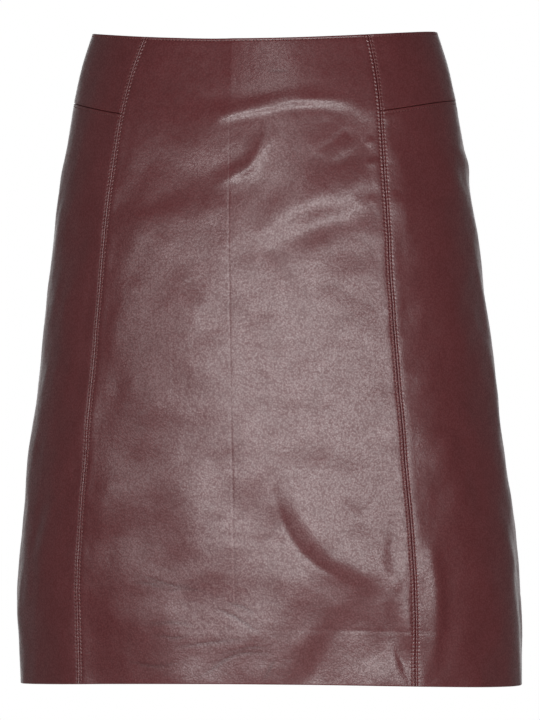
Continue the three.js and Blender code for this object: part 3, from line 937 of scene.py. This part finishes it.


# Rows of stitches in one mesh, each square to the leather under it, with a dark disc of painted shade for
# the needle hole after it.
def stitchRows(name, rows):
    shape = stitchShape()
    rings, sides = shape.shape[:2]
    # after each stitch a flat dark disc, painted shade standing in for its needle hole
    turn = np.linspace(0, 2 * math.pi, 8, endpoint=False)
    hole = np.stack([stitch["pitch"] / 2 + np.cos(turn) * stitch["hole"][0] / 2,
                     np.sin(turn) * stitch["hole"][1] / 2, 0 * turn - 0.02], -1)
    faces = [*tubeFaces(rings, sides), rings * sides + np.arange(len(hole))]
    slots = [0] * (len(faces) - 1) + [1]
    local = np.vstack([shape.reshape(-1, 3), hole])
    around = np.concatenate([np.tile(np.arange(sides) / sides * 1.2, rings), np.zeros(len(hole))])
    centres, frames = [], []
    for angle, below, relief in rows:
        normal = formNormal(angle, below)
        lift = skinLift(angle, below) + relief + stitch["lift"]
        centre = formPoint(angle, below) + normal * lift[:, None]
        onward = np.gradient(centre, axis=0)
        onward /= np.linalg.norm(onward, axis=1, keepdims=True)
        sideways = np.cross(normal, onward)
        lean = np.radians(stitch["slant"] + random.normal(0, stitch["leanSpread"], len(angle)))[:, None]
        forward = onward * np.cos(lean) + sideways * np.sin(lean)
        sideways = np.cross(normal, forward)
        jitter = random.normal(0, stitch["placeSpread"], (len(angle), 2))
        centres.append(centre + sideways * jitter[:, :1] + forward * jitter[:, 1:])
        frames.append(np.stack([forward, sideways, normal], axis=1))
    layout = np.stack([local[:, 0], around], -1)
    piece = joinedMesh(name, local, np.concatenate(centres), np.concatenate(frames), faces, layout,
                       slots, [thread, holeShade])
    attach(piece, "skirt")


# A row beside an upright seam, a little way round from it.
def uprightRow(line, offset):
    below = np.arange(2, form["length"] / stitch["pitch"] - 1.6) * stitch["pitch"]
    facts = edgeKinds["topstitched"]
    return shiftAngle(line(below), below, offset), below, facts["step"] - facts["groove"] * 1.5


for sideName, side in (("left", 1), ("right", -1)):
    away = halfSeam + edgeKinds["topstitched"]["row"]
    for place, line in (("front", frontSeam(side, 0)), ("back", backSeam(side, 0))):
        stitchRows(f"topstitch_{place}_{sideName}", [uprightRow(line, away), uprightRow(line, -away)])
    ends = frontSeam(side, 0)(60.0), backSeam(side, 0)(60.0)
    hipAngle = np.linspace(ends[0] + side * 0.02, ends[1] - side * 0.02, 600)
    held = edgeKinds["held"]
    hipLine = evenly(hipAngle, hipSeam(hipAngle) + halfSeam + held["row"])
    hipRow = (*hipLine, held["step"] - held["groove"] * 1.5)
    stitchRows(f"topstitch_hip_{sideName}", [hipRow])
waistAngle = np.linspace(-math.pi + 0.02, math.pi - 0.02, 1800)
waistFacts = edgeKinds["waist"]
waistLine = evenly(waistAngle, waistEdge(waistAngle) + waistFacts["row"])
stitchRows("topstitch_waist", [(*waistLine, -waistFacts["groove"] * 1.5)])
print("stitching made")

# The centre-back zip. Its tapes lie under the leather, and its teeth are closed from the slider down.
zipper = {"top": 9, "width": 12, "under": 2.1, "thick": 0.6, "toothPitch": 1.5, "teeth": (18.5, 205)}
coil = {"length": 3.4, "width": 0.95, "height": 0.6, "under": 3.05}


# A tape behind a back panel's edge: a strip of the same form, moved in, with a rounded selvedge.
def zipTape(name, side):
    below, share = np.meshgrid(zipper["top"] + np.linspace(0, form["zipLength"], 133),
                               np.linspace(0, 1, 13), indexing="ij")
    away = form["zipGap"] / 2 + zipper["width"] * (1 - share if side > 0 else share)
    angle = shiftAngle(side * math.pi, below, -side * away)
    base, normal = formPoint(angle, below), formNormal(angle, below)
    lift = skinLift(angle, below)
    slim = 0.18 * np.abs(2 * share - 1) ** 8
    outer = base + normal * (lift - zipper["under"] - slim)[..., None]
    inner = base + normal * (lift - zipper["under"] - zipper["thick"] + slim)[..., None]
    uv = np.stack([away, below], axis=-1)
    piece = shellMesh(f"{name}_woven", outer, inner, (2, 2), [tapeWeave, tapeWeave], uv, {})
    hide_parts(name)
    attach(piece, "skirt")
# Closed teeth: a row of short oval bars across the gap, each square to the form.
def zipTeeth():
    depth = np.arange(*zipper["teeth"], zipper["toothPitch"])
    angle = np.full(len(depth), math.pi)
    unit = stitchShape() / [stitch["length"], stitch["width"], stitch["height"]]
    bar = (unit * [coil["length"], coil["width"], coil["height"]]).reshape(-1, 3)
    faces = tubeFaces(*unit.shape[:2])
    normal = formNormal(angle, depth)
    centres = formPoint(angle, depth) + normal * (skinLift(angle, depth) - coil["under"])[:, None]
    across = np.tile([1.0, 0, 0], (len(centres), 1))
    axes = np.stack([across, np.cross(normal, across), normal], axis=1)
    piece = joinedMesh("zip_coil", bar, centres, axes, faces, bar[:, :2], [0] * len(faces), [makeCoil()])
    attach(piece, "skirt")


zipTape("zip_tape_left", 1)
zipTape("zip_tape_right", -1)
zipTeeth()
for name in ("zip_slider", "zip_pull"):
    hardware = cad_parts[name]
    hardware.data.materials.clear()
    hardware.data.materials.append(gunmetal)
print("zip made")

# Camera, light and floor.
shot = {"azimuth": 10, "distance": 6.0, "aimDown": 0.24525, "aimAside": 0.0041, "lens": 400}
turn = shot["azimuth"] * degree
rightward = np.array([math.cos(turn), math.sin(turn), 0])
toCamera = np.array([math.sin(turn), -math.cos(turn), 0])
aim = rightward * shot["aimAside"] + np.array([0, 0, -shot["aimDown"]])
camera = bpy.data.objects.new("camera", bpy.data.cameras.new("camera"))
camera.location = aim + toCamera * shot["distance"]
camera.rotation_euler = (math.pi / 2, 0, turn)
camera.data.lens = shot["lens"]
camera.data.clip_end = 60
bpy.context.scene.collection.objects.link(camera)
bpy.context.scene.camera = camera


# A soft box that faces the skirt, hidden from the camera. Azimuth is from the camera, and with the
# elevation, width and height it is in degrees as the skirt sees it. Brightness is against white paper.
def softBox(name, azimuth, elevation, distance, width, height, brightness):
    a, e = turn + azimuth * degree, elevation * degree
    away = np.array([math.sin(a) * math.cos(e), -math.cos(a) * math.cos(e), math.sin(e)])
    lamp = bpy.data.lights.new(name, "AREA")
    lamp.shape = "RECTANGLE"
    lamp.size = 2 * distance * math.tan(width / 2 * degree)
    lamp.size_y = 2 * distance * math.tan(height / 2 * degree)
    lamp.energy = brightness * math.pi * lamp.size * lamp.size_y
    holder = bpy.data.objects.new(name, lamp)
    holder.location = np.array([0, 0, -shot["aimDown"]]) + away * distance
    holder.rotation_euler = (math.pi / 2 - e, 0, a)
    holder.visible_camera = False
    bpy.context.scene.collection.objects.link(holder)


softBox("frontBox", 7, 6.4, 2.5, 86, 11.5, 9.4)
softBox("leftBox", -54, 7, 2.5, 34, 7, 4.8)
softBox("tallBox", -6, 30, 2.6, 8, 26, 4.2)
softBox("backBox", 180, 8, 2.6, 22, 30, 2.0)

world = bpy.data.worlds.new("studio")
bpy.context.scene.world = world
world.use_nodes = True
tree = world.node_tree
tree.nodes.clear()
# A dim room all round, with lit paper straight behind the skirt.
outward = addNode(tree, "TexCoord").outputs["Generated"]
facing = addNode(tree, "VectorMath", {0: outward, 1: tuple(-toCamera)}, operation="DOT_PRODUCT")
spread = addRange(tree, facing.outputs["Value"], -1, 1, 0, 1)
ramp = addNode(tree, "ValToRGB", {"Fac": spread})
stops = [(0.0, 0.15), (0.95, 0.15), (0.985, 1.0), (1.0, 1.0)]
while len(ramp.color_ramp.elements) < len(stops):
    ramp.color_ramp.elements.new(0.5)
for element, (position, level) in zip(ramp.color_ramp.elements, stops):
    element.position = position
    element.color = (level, level, level, 1)
room = addNode(tree, "Background", {"Color": ramp.outputs["Color"], "Strength": 1})
paper = addNode(tree, "Background", {"Color": (1, 1, 1, 1), "Strength": 1})
seen = addNode(tree, "LightPath").outputs["Is Camera Ray"]
mixed = addNode(tree, "MixShader", {0: seen, 1: room.outputs[0], 2: paper.outputs[0]})
addNode(tree, "OutputWorld", {"Surface": mixed.outputs[0]})

reach, height = 1.4, -0.9
floorCorners = [(x * reach, y * reach, height) for x, y in ((-1, -1), (1, -1), (1, 1), (-1, 1))]
floorMesh = bpy.data.meshes.new("floor")
floorMesh.from_pydata(floorCorners, [], [(0, 1, 2, 3)])
floor = bpy.data.objects.new("floor", floorMesh)
bpy.context.scene.collection.objects.link(floor)
paint, tree = newMaterial("paperSweepMatt")  # matt white paper
floorMesh.materials.append(endMaterial(paint, {"Base Color": colour("#E6E4E2"), "Roughness": 0.9}))
bpy.context.scene.view_settings.view_transform = "Standard"
print("studio made")
